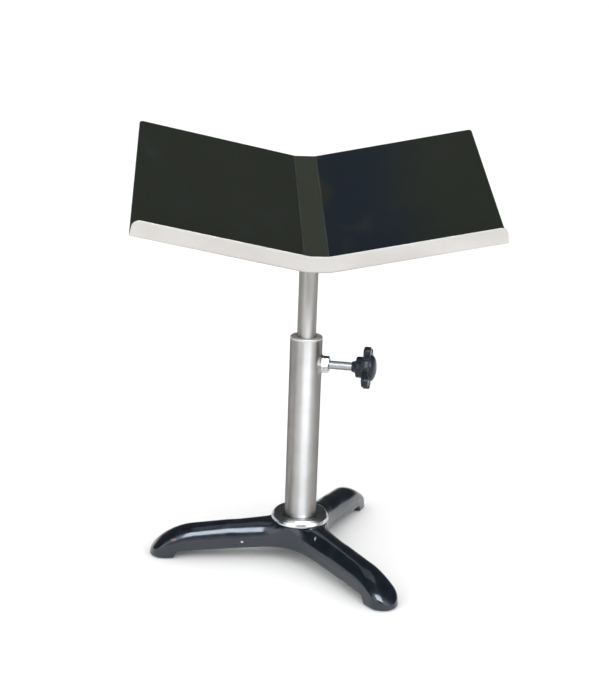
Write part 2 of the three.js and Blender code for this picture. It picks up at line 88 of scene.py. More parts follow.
BASE_TURN = 0.8
LEG_ANGLES = (180 + BASE_TURN, -60 + BASE_TURN, 60 + BASE_TURN)
LEG_HALF = 18.5
LEG_END = LEG_TIP - LEG_HALF
LEG_BLEND = 2.1
HUB_SEAT = 31
SIDE_TOP = 18
RIDGE_START = 50.7
RIDGE_FALL = 0.101
NOSE_START = 130
ARCH_HUB = 18
ARCH_FALL = 0.062
PAD_INNER = 149
PAD_OUTER = 155
EDGE = 3
DRAFT = 0.9
SOCKET_R = TUBE_R + 0.3
SOCKET_FLOOR = 40
BOLT_HOLE_R = 6.6
BLEND_END = 85
RECESS_R = 16
RECESS_TOP = 30
RUST_AT = (-153, -17.5, 23.5)
CHIP_AT = (-70.6, -19.6, 21.7)
NICK_AT = (14.4, -50.2, 39.8)

TILT = 22 * RAD
TRAY_Z = 425
WING_RISE = 12.8 * RAD
SPINE_HALF = 12
WING = 191
SHEET_END = SPINE_HALF + WING
FRONT = 130
BACK = 121
LIP = 20
SHEET = 1.2
FACE = 0.5
BEND = 2
GAP = 0.05
LIP_CORNER = 8
BACK_CORNER = 5


def mix(a, b, k):
    return a + (b - a) * k


def clamp01(v):
    return min(1.0, max(0.0, v))


def smooth(v):
    v = clamp01(v)
    return v * v * (3 - 2 * v)


# ---- Mesh helpers ------------------------------------------------------------------------------


def identity(p):
    return p


CLAMP_X = Vector((-math.sin(KNOB_AZ), math.cos(KNOB_AZ), 0))
CLAMP_Y = Vector((0, 0, 1))
CLAMP_N = Vector((math.cos(KNOB_AZ), math.sin(KNOB_AZ), 0))


def on_clamp(p):
    """Clamp frame to row frame: x is sideways, y is up, z runs out along the screw."""
    return CLAMP_X * p[0] + CLAMP_Y * p[1] + CLAMP_N * p[2] + Vector((0, 0, CLAMP_Z))


def on_tray(p):
    """Tray frame to row frame: x across, y up the slope, z out of the reading surface."""
    c, s = math.cos(TILT), math.sin(TILT)
    return Vector((p[0], p[1] * c - p[2] * s, p[1] * s + p[2] * c + TRAY_Z))


def piece(name, points, faces, material, body, node, slot, sharp=35, place=identity, bevel=0):
    """Makes a mesh piece from millimetre points, hangs it on its body and hides the CAD node it replaces."""
    mesh = bpy.data.meshes.new(name)
    mesh.from_pydata([Vector(place(p)) * MM for p in points], [], faces)
    work = bmesh.new()
    work.from_mesh(mesh)
    bmesh.ops.remove_doubles(work, verts=work.verts, dist=2e-6)
    bmesh.ops.dissolve_degenerate(work, edges=work.edges, dist=1e-7)
    bmesh.ops.recalc_face_normals(work, faces=work.faces)
    work.to_mesh(mesh)
    work.free()
    mesh.shade_smooth()
    mesh.set_sharp_from_angle(angle=sharp * RAD)
    made = bpy.data.objects.new(name, mesh)
    bpy.context.scene.collection.objects.link(made)
    mesh.materials.append(material)
    if bevel:
        soften = made.modifiers.new("edge", "BEVEL")
        soften.width = bevel * MM
        soften.segments = 3
        soften.limit_method = "ANGLE"
        soften.angle_limit = sharp * RAD
        soften.harden_normals = False
    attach(made, body)
    if node:
        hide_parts(node)
    return made


def grid_faces(rows, columns, wrap_rows=False, wrap_columns=True, start=0):
    faces = []
    for i in range(rows if wrap_rows else rows - 1):
        for j in range(columns if wrap_columns else columns - 1):
            a, b = i % rows, (i + 1) % rows
            c, d = j % columns, (j + 1) % columns
            faces.append(
                tuple(start + k for k in (a * columns + c, a * columns + d, b * columns + d, b * columns + c))
            )
    return faces


def rounded(corners, steps=6, closed=True):
    """A line through [x, y, radius] corners, each corner replaced by an arc of its radius."""
    out = []
    count = len(corners)
    for i, (x, y, radius) in enumerate(corners):
        here = Vector((x, y))
        if not radius or (not closed and i in (0, count - 1)):
            out.append((x, y))
            continue
        back = Vector(corners[i - 1][:2]) - here
        ahead = Vector(corners[(i + 1) % count][:2]) - here
        reach = min(back.length, ahead.length) * 0.495
        back.normalize()
        ahead.normalize()
        half = math.acos(max(-1, min(1, back.dot(ahead)))) / 2
        cut = min(radius / math.tan(half), reach)
        radius = cut * math.tan(half)
        centre = here + (back + ahead).normalized() * (radius / math.sin(half))
        first, last = here + back * cut - centre, here + ahead * cut - centre
        turn = first.angle_signed(last)
        for k in range(steps + 1):
            arm = first.copy()
            arm.rotate(Matrix.Rotation(-turn * k / steps, 2))
            out.append(tuple(centre + arm))
    return out


def lathe(profile, segments=96, closed=True, reshape=None):
    """Turns a profile of (radius, height) about Z. reshape moves each finished point."""
    points = []
    for r, z in profile:
        for k in range(segments):
            a = 2 * math.pi * k / segments
            p = (r * math.cos(a), r * math.sin(a), z)
            points.append(reshape(p) if reshape else p)
    return points, grid_faces(len(profile), segments, wrap_rows=closed)


def cut(made, points, faces, sharp, place=identity):
    """Cuts a closed shape, given in millimetre points, out of a piece."""
    mesh = bpy.data.meshes.new("cutter")
    mesh.from_pydata([Vector(place(p)) * MM for p in points], [], faces)
    work = bmesh.new()
    work.from_mesh(mesh)
    bmesh.ops.remove_doubles(work, verts=work.verts, dist=1e-6)
    bmesh.ops.recalc_face_normals(work, faces=work.faces)
    work.to_mesh(mesh)
    work.free()
    tool = bpy.data.objects.new("cutter", mesh)
    bpy.context.scene.collection.objects.link(tool)
    cutter = made.modifiers.new("cut", "BOOLEAN")
    cutter.operation = "DIFFERENCE"
    cutter.solver = "EXACT"
    cutter.object = tool
    bpy.context.view_layer.update()
    graph = bpy.context.evaluated_depsgraph_get()
    finished = bpy.data.meshes.new_from_object(made.evaluated_get(graph))
    made.modifiers.clear()
    made.data = finished
    bpy.data.objects.remove(tool)
    finished.shade_smooth()
    finished.set_sharp_from_angle(angle=sharp * RAD)


# ---- Materials ---------------------------------------------------------------------------------


class Graph:
    """Helpers that add nodes to a node tree."""

    def __init__(self, tree):
        self.tree = tree

    def node(self, kind, **settings):
        made = self.tree.nodes.new(kind)
        for key, value in settings.items():
            setattr(made, key, value)
        return made

    def join(self, source, target):
        self.tree.links.new(source, target)

    def band(self, value, low, high, out_low=0.0, out_high=1.0):
        """A smooth step between out_low and out_high as value goes from low to high."""
        made = self.node("ShaderNodeMapRange", interpolation_type="SMOOTHSTEP")
        made.inputs["From Min"].default_value = low
        made.inputs["From Max"].default_value = high
        made.inputs["To Min"].default_value = out_low
        made.inputs["To Max"].default_value = out_high
        self.join(value, made.inputs["Value"])
        return made.outputs["Result"]

    def maths(self, operation, *values):
        made = self.node("ShaderNodeMath", operation=operation)
        for socket, value in zip(made.inputs, values):
            if isinstance(value, (int, float)):
                socket.default_value = value
            else:
                self.join(value, socket)
        return made.outputs["Value"]


class Surface(Graph):
    """A node material: a Principled shader with helpers for the textures that drive it."""

    def __init__(self, name, color, roughness, metallic=0.0, **constants):
        self.material = bpy.data.materials.new(name)
        self.material.use_nodes = True
        self.material.diffuse_color = (*color, 1)
        super().__init__(self.material.node_tree)
        self.shader = self.tree.nodes["Principled BSDF"]
        self.shader.inputs["Base Color"].default_value = (*color, 1)
        self.shader.inputs["Roughness"].default_value = roughness
        self.shader.inputs["Metallic"].default_value = metallic
        for key, value in constants.items():
            self.shader.inputs[key.replace("_", " ")].default_value = value
        self.where = self.node("ShaderNodeTexCoord").outputs["Object"]
        self.height = None

    def stretched(self, scale, turn=(0, 0, 0)):
        """Object coordinates in millimetres, scaled per axis, so 1 is one pattern cell a millimetre."""
        mapping = self.node("ShaderNodeMapping")
        mapping.inputs["Scale"].default_value = tuple(s / MM for s in scale)
        mapping.inputs["Rotation"].default_value = turn
        self.join(self.where, mapping.inputs["Vector"])
        return mapping.outputs["Vector"]

    def noise(self, scale, detail=3, rough=0.5, distortion=0, turn=(0, 0, 0)):
        """Noise whose cell is 1/scale millimetres, or per axis where scale is a triple."""
        triple = scale if isinstance(scale, tuple) else (scale,) * 3
        made = self.node("ShaderNodeTexNoise")
        made.inputs["Scale"].default_value = 1
        made.inputs["Detail"].default_value = detail
        made.inputs["Roughness"].default_value = rough
        made.inputs["Distortion"].default_value = distortion
        self.join(self.stretched(triple, turn), made.inputs["Vector"])
        return made.outputs["Fac"]

    def mark(self, at, size, ragged, turn=(0, 0, 0)):
        """A mask for one small mark: an ellipsoid in millimetres with a ragged edge."""
        shift = self.node("ShaderNodeVectorMath", operation="SUBTRACT")
        self.join(self.where, shift.inputs[0])
        shift.inputs[1].default_value = Vector(at) * MM
        mapping = self.node("ShaderNodeMapping", vector_type="TEXTURE")
        mapping.inputs["Rotation"].default_value = turn
        mapping.inputs["Scale"].default_value = Vector(size) * MM
        self.join(shift.outputs["Vector"], mapping.inputs["Vector"])
        reach = self.node("ShaderNodeVectorMath", operation="LENGTH")
        self.join(mapping.outputs["Vector"], reach.inputs[0])
        return self.band(self.maths("ADD", reach.outputs["Value"], ragged), 1.45, 1.1)

    def blend(self, factor, a, b):
        """Mixes two colours, each a triple or a socket, by a factor socket."""
        made = self.node("ShaderNodeMix", data_type="RGBA")
        self.join(factor, made.inputs["Factor"])
        for socket, value in ((made.inputs[6], a), (made.inputs[7], b)):
            if isinstance(value, tuple):
                socket.default_value = (*value, 1)
            else:
                self.join(value, socket)
        return made.outputs[2]

    def color(self, socket):
        self.join(socket, self.shader.inputs["Base Color"])

    def rough(self, socket):
        self.join(socket, self.shader.inputs["Roughness"])

    def bump(self, socket, depth, strength=1.0):
        """Adds a bump layer, depth in millimetres, on top of the layers before it."""
        made = self.node("ShaderNodeBump")
        made.inputs["Strength"].default_value = strength
        made.inputs["Distance"].default_value = depth * MM
        self.join(socket, made.inputs["Height"])
        if self.height is not None:
            self.join(self.height, made.inputs["Normal"])
        self.height = made.outputs["Normal"]
        self.join(self.height, self.shader.inputs["Normal"])

    def tint(self, red, green, blue):
        self.shader.inputs["Specular Tint"].default_value = (red, green, blue, 1)

    def grazing_shade(self, tint):
        """Darkens a metal's reflections towards grazing: painted shade standing in for the dim room that the
        sides of the metal reflect.
        """
        self.tint(tint, tint, tint)

    def clear_coat(self, weight, roughness):
        self.shader.inputs["Coat Weight"].default_value = weight
        self.shader.inputs["Coat Roughness"].default_value = roughness


def cast_enamel():
    s = Surface("cast_enamel", (0.0045, 0.0075, 0.0125), 0.2)
    patch = s.noise(0.05, 4, 0.6)
    fine = s.noise(1.1, 3, 0.6)
    tone = s.blend(s.band(patch, 0.35, 0.7), (0.003, 0.0055, 0.0095), (0.0065, 0.0095, 0.015))
    ragged = s.noise(0.55, 3, 0.7)
    rust = s.mark(RUST_AT, (4.5, 2.5, 2.0), ragged)
    chip = s.mark(CHIP_AT, (2.2, 1.5, 1.5), ragged)
    nick = s.mark(NICK_AT, (4.6, 1.5, 2.4), ragged, turn=(0, 0, 1.05))
    tone = s.blend(rust, tone, (0.13, 0.07, 0.05))
    tone = s.blend(nick, tone, (0.36, 0.27, 0.24))
    s.color(s.blend(chip, tone, (0.4, 0.43, 0.48)))
    s.rough(s.band(s.maths("ADD", patch, s.maths("MULTIPLY", fine, 0.25)), 0.35, 0.85, 0.14, 0.28))
    s.bump(s.noise(0.03, 2), 0.9)
    s.bump(s.noise(0.13, 3, 0.55), 0.2)
    s.bump(fine, 0.02)
    s.bump(s.maths("ADD", s.maths("ADD", rust, chip), nick), 0.15)
    s.clear_coat(0.6, 0.1)
    s.tint(0.82, 0.89, 1.0)
    return s.material


def satin_tube():
    s = Surface("satin_tube", (0.6, 0.585, 0.56), 0.32, 1)
    rings = s.noise((0.02, 0.02, 5.5), 3, 0.65)
    long = s.noise((0.35, 0.35, 0.004), 3, 0.5)
    cloud = s.noise(0.03, 3)
    s.color(s.blend(s.band(cloud, 0.3, 0.7), (0.53, 0.512, 0.49), (0.6, 0.585, 0.57)))
    wear = s.maths("ADD", s.maths("MULTIPLY", long, 0.5), s.maths("MULTIPLY", rings, 0.5))
    s.rough(s.band(wear, 0.3, 0.7, 0.46, 0.6))
    # painted shade: darker reflections towards the sides
    s.grazing_shade(0.4)
    s.bump(rings, 0.006)
    s.bump(long, 0.012)
    s.shader.inputs["Anisotropic"].default_value = 0.92
    s.shader.inputs["Anisotropic Rotation"].default_value = 0.25
    return s.material


def turned_steel():
    s = Surface("turned_steel", (0.6, 0.585, 0.56), 0.45, 0.75)
    rings = s.noise((3, 3, 3), 3, 0.6)
    cloud = s.noise(0.08, 3)
    s.color(s.blend(s.band(cloud, 0.3, 0.7), (0.52, 0.505, 0.485), (0.62, 0.605, 0.59)))
    s.rough(s.band(rings, 0.3, 0.7, 0.4, 0.52))
    # painted shade: darker reflections towards the sides
    s.grazing_shade(0.5)
    s.bump(rings, 0.006)
    return s.material


def satin_sheet():
    s = Surface("satin_sheet", (0.6, 0.59, 0.575), 0.34, 1)
    grain = s.noise((0.012, 3.2, 3.2), 3, 0.65)
    cloud = s.noise((0.012, 0.02, 0.02), 3, 0.55)
    s.color(s.blend(s.band(cloud, 0.3, 0.7), (0.6, 0.578, 0.555), (0.67, 0.65, 0.63)))
    s.rough(s.band(s.maths("ADD", grain, s.maths("MULTIPLY", cloud, 0.6)), 0.5, 1.1, 0.29, 0.42))
    # painted shade: darker reflections towards the sides
    s.grazing_shade(0.6)
    s.bump(grain, 0.008)
    s.bump(s.noise(0.015, 2), 0.2)
    return s.material


def polished_steel():
    s = Surface("polished_steel", (0.7, 0.71, 0.725), 0.16, 1)
    swirl = s.noise((1.5, 1.5, 4.0), 3, 0.6, 0.4)
    haze = s.noise(0.09, 3)
    s.rough(s.band(haze, 0.3, 0.75, 0.13, 0.28))
    s.color(s.blend(s.band(haze, 0.3, 0.8), (0.72, 0.735, 0.755), (0.56, 0.575, 0.595)))
    # painted shade: darker reflections towards the sides
    s.grazing_shade(0.5)
    s.bump(swirl, 0.004)
    s.bump(s.noise(0.08, 2), 0.12)
    return s.material


def plated_steel():
    s = Surface("plated_steel", (0.55, 0.56, 0.58), 0.3, 1)
    cloud = s.noise(0.35, 4, 0.6)
    s.color(s.blend(s.band(cloud, 0.35, 0.7), (0.34, 0.345, 0.36), (0.42, 0.43, 0.45)))
    s.rough(s.band(cloud, 0.3, 0.75, 0.3, 0.42))
    # painted shade: darker reflections towards the sides
    s.grazing_shade(0.4)
    s.bump(s.noise(0.3, 2), 0.008)
    return s.material


def weld_steel():
    s = Surface("weld_steel", (0.46, 0.44, 0.42), 0.42, 1)
    patch = s.noise(0.28, 4, 0.6)
    heat = s.band(s.noise(0.12, 2), 0.45, 0.65)
    tone = s.blend(s.band(patch, 0.3, 0.7), (0.4, 0.385, 0.37), (0.24, 0.225, 0.21))
    s.color(s.blend(s.maths("MULTIPLY", heat, 0.45), tone, (0.28, 0.21, 0.24)))
    s.rough(s.band(patch, 0.3, 0.75, 0.28, 0.5))
    s.bump(s.noise(1.4, 3, 0.6), 0.1)
    return s.material


def moulded_plastic():
    s = Surface("moulded_plastic", (0.012, 0.014, 0.018), 0.22)
    skin = s.noise(3.5, 2, 0.5)
    cloud = s.noise(0.12, 3)
    s.color(s.blend(s.band(cloud, 0.3, 0.75), (0.008, 0.01, 0.014), (0.016, 0.019, 0.025)))
    s.rough(s.band(cloud, 0.3, 0.75, 0.26, 0.4))
    s.bump(skin, 0.006)
    s.bump(s.noise(0.2, 2), 0.05)
    s.shader.inputs["Specular IOR Level"].default_value = 0.34
    s.tint(0.8, 0.87, 1.0)
    return s.material


def reading_face():
    s = Surface("reading_face", (0.012, 0.014, 0.0135), 0.14)
    smudge = s.noise((0.02, 0.014, 0.014), 4, 0.6, 0.5)
    wipes = s.noise((0.05, 0.006, 0.006), 3, 0.6, 0.3)
    split = s.node("ShaderNodeSeparateXYZ")
    s.join(s.where, split.inputs["Vector"])
    across = s.maths("ABSOLUTE", split.outputs["X"])
    # A bluish patch on the right wing, from near the fold outward, with a noisy edge: a painted reflection.
    drift = s.maths("ADD", split.outputs["X"], s.maths("MULTIPLY", s.noise(0.012, 2), 0.1))
    blue_reflection_patch = s.maths("MULTIPLY", s.band(drift, 0.055, 0.07), s.band(drift, 0.2, 0.11))
    tone = s.blend(blue_reflection_patch, (0.013, 0.0155, 0.0115), (0.0065, 0.0105, 0.0155))
    tone = s.blend(s.band(across, 14 * MM, 11 * MM), tone, (0.024, 0.028, 0.02))
    tone = s.blend(s.band(smudge, 0.55, 0.85), tone, (0.017, 0.02, 0.02))
    s.rough(s.band(s.maths("ADD", smudge, wipes), 0.8, 1.25, 0.11, 0.19))
    # A thin lighter line along each fold, broken up by noise: a painted highlight where the bend catches
    # light.
    off = s.maths("ABSOLUTE", s.maths("SUBTRACT", across, (SPINE_HALF + 1) * MM))
    crease = s.band(off, 1.1 * MM, 0.5 * MM)
    fold_highlight = s.maths("MULTIPLY", crease, s.band(s.noise((0.4, 0.03, 0.03), 3), 0.3, 0.6, 0.35, 1))
    s.color(s.blend(fold_highlight, tone, (0.034, 0.038, 0.04)))
    s.bump(s.noise((0.008, 0.012, 0.012), 2, 0.4), 0.25)
    s.bump(s.noise(0.9, 2), 0.002)
    s.clear_coat(0.3, 0.07)
    return s.material


def turned_brass():
    s = Surface("turned_brass", (0.6, 0.42, 0.17), 0.3, 1)
    cloud = s.noise(0.6, 3)
    s.color(s.blend(s.band(cloud, 0.3, 0.7), (0.52, 0.35, 0.13), (0.68, 0.49, 0.22)))
    s.rough(s.band(cloud, 0.3, 0.7, 0.24, 0.4))
    s.bump(s.noise((4, 4, 0.5), 2), 0.01)
    return s.material


def natural_nylon():
    s = Surface("natural_nylon", (0.76, 0.74, 0.68), 0.5, Subsurface_Weight=0.1)
    cloud = s.noise(0.2, 3)
    s.color(s.blend(s.band(cloud, 0.3, 0.7), (0.72, 0.7, 0.63), (0.8, 0.78, 0.73)))
    s.rough(s.band(cloud, 0.3, 0.7, 0.42, 0.58))
    s.bump(s.noise(1.5, 3), 0.02)
    return s.material


ENAMEL = cast_enamel()
SATIN = satin_tube()
TURNED = turned_steel()
SHEET_STEEL = satin_sheet()
POLISHED = polished_steel()
PLATED = plated_steel()
WELD = weld_steel()
PLASTIC = moulded_plastic()
GLOSS = reading_face()
BRASS = turned_brass()
NYLON = natural_nylon()

# ---- Cast tripod base --------------------------------------------------------------------------


def leg_distance(x, y):
    """Distance to the nearest leg's centre line, blended so that the legs flow together."""
    total = 0.0
    for angle in (0, 120, -120):
        c, s = math.cos(angle * RAD), math.sin(angle * RAD)
        along = min(LEG_END, max(0.0, x * c + y * s))
        away = math.hypot(x - along * c, y - along * s)
        total += max(away, 1e-3) ** -LEG_BLEND
    return total ** (-1 / LEG_BLEND)


def search(test, low, high):
    """The value where test turns from true to false, between low and high."""
    for _ in range(44):
        middle = (low + high) / 2
        if test(middle):
            low = middle
        else:
            high = middle
    return low


TAN60 = math.tan(60 * RAD)


def outline(s, contour):
    """Half width at s along a leg, on the contour where leg_distance has the given value."""
    sector = s * TAN60
    if leg_distance(s, sector) <= contour:
        return sector
    if s >= LEG_END + contour or leg_distance(s, 0) >= contour:
        return 0.0
    return search(lambda y: leg_distance(s, y) < contour, 0.0, min(sector, 60))


def corner_of(contour):
    """How far along a leg the contour leaves the border between two legs."""
    return search(lambda s: leg_distance(s, s * TAN60) <= contour, 0.0, 60.0)


def nose_scale(s):
    u = clamp01((s - NOSE_START) / (LEG_TIP - NOSE_START))
    return max(0.0, 1 - u * u) ** 0.7


def top_height(x, y, half):
    r = math.hypot(x, y)
    far = smooth((x - 50) / 30)
    along = mix(r, x, far)
    across = mix(leg_distance(x, y) / LEG_HALF, abs(y) / max(half, 1e-6), far)
    scale = nose_scale(along)
    rise = 2.2 * smooth((65 - along) / 30)
    ridge = mix(4, RIDGE_START - RIDGE_FALL * along + rise, scale)
    edge = mix(4, SIDE_TOP, scale)
    leg = edge + (ridge - edge) * math.sqrt(max(0.0, 1 - clamp01(across) ** 2.4))
    if r < HUB_SEAT:
        return HUB_TOP
    boss = edge + (HUB_TOP - edge) * math.exp(-(((r - HUB_SEAT) / 6.5) ** 1.6))
    soft = 1e-3 + 5 * smooth((62 - r) / 25)
    meet = max(0.0, 1 - abs(leg - boss) / (2 * soft))
    joint = max(leg, boss) + soft * meet * meet / 2
    near = 1e-3 + 1.5 * smooth((80 - r) / 30)
    level = max(0.0, 1 - abs(joint - HUB_TOP) / (2 * near))
    return min(joint, HUB_TOP) - near * level * level / 2


def under_height(x, y):
    r = math.hypot(x, y)
    pad = smooth((r - PAD_INNER) / (PAD_OUTER - PAD_INNER))
    return (ARCH_HUB - ARCH_FALL * r) * (1 - pad)


def casting():
    outer = LEG_HALF - DRAFT
    corner = corner_of(LEG_HALF)
    hub = [corner * k / 10 for k in range(11)]
    leg = [corner + (PAD_INNER - corner) * (k / 36) for k in range(1, 37)]
    step = [PAD_INNER + k for k in range(1, 7)]
    nose_length = LEG_TIP - PAD_OUTER
    nose = [PAD_OUTER + nose_length * math.sin(k / 22 * math.pi / 2) for k in range(1, 23)]
    stations = hub + leg + step + nose
    last = len(hub) - 1

    def slide(s, contour):
        """The station s moved so that the contour's own corner and tip line up with the outline's."""
        inner = corner_of(contour)
        if s <= corner:
            return s * inner / corner
        if s >= LEG_END:
            return LEG_END + (s - LEG_END) * contour / LEG_HALF
        return mix(inner, LEG_END, (s - corner) / (LEG_END - corner))

    def half_at(s, contour, i):
        return s * TAN60 if i <= last else outline(s, contour)

    across = 36
    spread = [math.sin((j / across - 0.5) * math.pi) for j in range(across + 1)]
    flat = [-1 + 2 * j / 16 for j in range(17)]
    turns = 6
    tops, walls, bottoms = [], [], []
    under_contour = LEG_HALF - EDGE
    for i, at in enumerate(stations):
        s = slide(at, outer)
        half = half_at(s, outer, i)
        tops.append([(s, half * t, top_height(s, half * t, half)) for t in spread])
        s = slide(at, under_contour)
        half = half_at(s, under_contour, i)
        bottoms.append([(s, half * t, under_height(s, half * t)) for t in flat])
        ring = []
        for k in range(turns + 1):
            a = k / (turns + 1) * math.pi / 2
            contour = LEG_HALF - EDGE * (1 - math.cos(a))
            s = slide(at, contour)
            half = half_at(s, contour, i)
            z = under_height(s, half) + EDGE * (1 - math.sin(a))
            ring.append([(s, half * t, z) for t in (-1, 1)])
        walls.append(ring)

    points, faces = [], []

    def quad(a, b, c, d):
        start = len(points)
        points.extend((a, b, c, d))
        faces.append((start, start + 1, start + 2, start + 3))

    for angle in LEG_ANGLES:
        c, s = math.cos(angle * RAD), math.sin(angle * RAD)

        def turned(p):
            return (p[0] * c - p[1] * s, p[0] * s + p[1] * c, p[2])

        for i in range(len(stations) - 1):
            for line, count in ((tops, across), (bottoms, len(flat) - 1)):
                near, far = line[i], line[i + 1]
                for j in range(count):
                    quad(*(turned(p) for p in (near[j], far[j], far[j + 1], near[j + 1])))
            if i < last:
                continue
            for e in (0, 1):
                chains = []
                for at in (i, i + 1):
                    end = -1 if e else 0
                    rim = [ring[e] for ring in walls[at]]
                    chains.append([tops[at][end], *rim, bottoms[at][end]])
                for k in range(len(chains[0]) - 1):
                    ring = (chains[0][k], chains[1][k], chains[1][k + 1], chains[0][k + 1])
                    quad(*(turned(p) for p in ring))
    return piece("cast_base", points, faces, ENAMEL, "base", "base_casting", "base_enamel", sharp=50)


def flow_together(made):
    """Smooths the heights of the top round the hub, so that the legs run into it without a line."""
    work = bmesh.new()
    work.from_mesh(made.data)
    near = [
        v for v in work.verts if HUB_SEAT + 3 < v.co.xy.length / MM < BLEND_END and v.normal.z > 0.05
    ]
    for _ in range(30):
        bmesh.ops.smooth_vert(work, verts=near, factor=0.5, use_axis_z=True)
    work.to_mesh(made.data)
    work.free()


base = casting()
flow_together(base)
base_bore = [
    (0, -1),
    (RECESS_R, -1),
    (RECESS_R, RECESS_TOP),
    (BOLT_HOLE_R, RECESS_TOP),
    (BOLT_HOLE_R, SOCKET_FLOOR),
    (SOCKET_R, SOCKET_FLOOR),
    (SOCKET_R, HUB_TOP + 5),
    (0, HUB_TOP + 5),
]
cut(base, *lathe(base_bore, 64, closed=False), sharp=50)

rosette_profile = rounded(
    [
        (TUBE_R + 0.25, ROSETTE_LOW, 0),
        (ROSETTE_R, ROSETTE_LOW, 0.3),
        (ROSETTE_R, ROSETTE_LOW + 1.4, 0.9),
        (ROSETTE_R - 1.1, ROSETTE_HIGH - 4.2, 4),
        (ROSETTE_R - 3.6, ROSETTE_HIGH - 0.6, 3.5),
        (ROSETTE_R - 6.8, ROSETTE_HIGH + 0.15, 4),
        (ROSETTE_R - 11, ROSETTE_HIGH - 1.6, 6),
        (TUBE_R + 1.9, ROSETTE_HIGH - 2.1, 1.2),
        (TUBE_R + 0.25, ROSETTE_HIGH - 2.2, 0.2),
    ],
    8,
)
piece(
    "rosette", *lathe(rosette_profile, 128), POLISHED, "base", "base_rosette", "mirror_steel", sharp=50
)

# ---- Column, bush and post ---------------------------------------------------------------------

column_profile = rounded(
    [
        (TUBE_R - TUBE_WALL, TUBE_LOW, 0.2),
        (TUBE_R, TUBE_LOW, 0.3),
        (TUBE_R, TUBE_HIGH, 0.08),
        (TUBE_R - TUBE_WALL, TUBE_HIGH, 0.08),
    ],
    3,
)
column = piece("column", *lathe(column_profile, 128), SATIN, "base", "column_tube", "satin_steel")
screw_hole = [(0, HOLE_START), (HOLE_R, HOLE_START), (HOLE_R, TUBE_R + 2), (0, TUBE_R + 2)]
cut(column, *lathe(screw_hole, 64, closed=False), sharp=35, place=on_clamp)

BUSH_BORE = POST_R + 0.2
bush_profile = rounded(
    [
        (BUSH_BORE, BUSH_LOW, 0.5),
        (TUBE_R - TUBE_WALL - 0.2, BUSH_LOW, 0.8),
        (TUBE_R - TUBE_WALL - 0.2, TUBE_HIGH + GAP, 0),
        (TUBE_R, TUBE_HIGH + GAP, 0.08),
        (TUBE_R, COLUMN_TOP, 2.2),
        (BUSH_BORE, COLUMN_TOP, 0.9),
    ],
    8,
)
piece("bush", *lathe(bush_profile, 128), TURNED, "base", "reducer_bush", "satin_steel")

SLOPE = math.tan(TILT)
PLATE_TOP = -(FACE + SHEET + 2 * GAP)
PLATE_T = 3
MITRE = TRAY_Z + (PLATE_TOP - PLATE_T - GAP) / math.cos(TILT)


def mitred(p):
    """Points at the post's top follow the tray's slope."""
    return (p[0], p[1], p[2] + p[1] * SLOPE) if p[2] > MITRE - 8 else p


post_profile = [
    (POST_R - POST_WALL, POST_LOW + 0.3),
    (POST_R - POST_WALL + 0.3, POST_LOW),
    (POST_R - 0.3, POST_LOW),
    (POST_R, POST_LOW + 0.3),
    (POST_R, MITRE - 12),
    (POST_R, MITRE),
    (POST_R - POST_WALL, MITRE),
    (POST_R - POST_WALL, MITRE - 12),
]
piece(
    "post", *lathe(post_profile, 96, reshape=mitred), SATIN, "mast", "post_tube", "satin_steel"
)


def beaded(amount, count, about=0.0):
    """Ripples like the laps of a weld run, by angle about Z."""

    def reshape(p):
        a = math.atan2(p[1], p[0])
        lap = amount * (0.5 - abs(((a * count / (2 * math.pi) + about) % 1) - 0.5))
        wobble = amount * 0.6 * math.sin(5 * a + 1.3) * math.cos(3 * a)
        r = math.hypot(p[0], p[1])
        grown = 1 + (lap + wobble) / max(r, 1) * clamp01((r - POST_R) / 2)
        return (p[0] * grown, p[1] * grown, p[2] + p[1] * grown * SLOPE)

    return reshape


post_bead = rounded(
    [
        (POST_R + 0.05, MITRE, 0),
        (POST_R + 0.05, MITRE - 4.4, 0.4),
        (POST_R + 1.9, MITRE - 3.2, 1.6),
        (POST_R + 3.5, MITRE - 1.2, 1.2),
        (POST_R + 3.9, MITRE, 0),
    ],
    5,
)
piece(
    "post_bead",
    *lathe(post_bead, 240, reshape=beaded(0.5, 34)),
    WELD,
    "mast",
    "post_weld_bead",
    "weld_metal",
    sharp=50,
)

# ---- Clamp -------------------------------------------------------------------------------------


def hex_radius(a, across_flats):
    """Distance from a hexagon's centre to its side, with flats facing up and down."""
    off = a / RAD % 60 - 30
    return across_flats / 2 / math.cos(off * RAD)


def nut():
    segments = 180
    bore = SCREW_R + 0.15
    face = NUT_AF / 2 * 0.97
    rows = []
    for kind in range(8):
        for k in range(segments):
            a = 2 * math.pi * k / segments
            flank = hex_radius(a, NUT_AF)
            drop = (flank - face) * math.tan(30 * RAD)
            r, z = (
                (bore, NUT_IN + 0.6),
                (bore + 0.7, NUT_IN),
                (face, NUT_IN),
                (flank, NUT_IN + drop),
                (flank, NUT_OUT - drop),
                (face, NUT_OUT),
                (bore + 0.7, NUT_OUT),
                (bore, NUT_OUT - 0.7),
            )[kind]
            rows.append((r * math.cos(a), r * math.sin(a), z))
    faces = grid_faces(8, segments, wrap_rows=True)
    piece(
        "clamp_hex_nut",
        rows,
        faces,
        POLISHED,
        "base",
        "clamp_nut",
        "mirror_steel",
        sharp=22,
        place=on_clamp,
        bevel=0.25,
    )


nut()


BEAD_WIDE = 11.3
BEAD_HIGH = 12.3


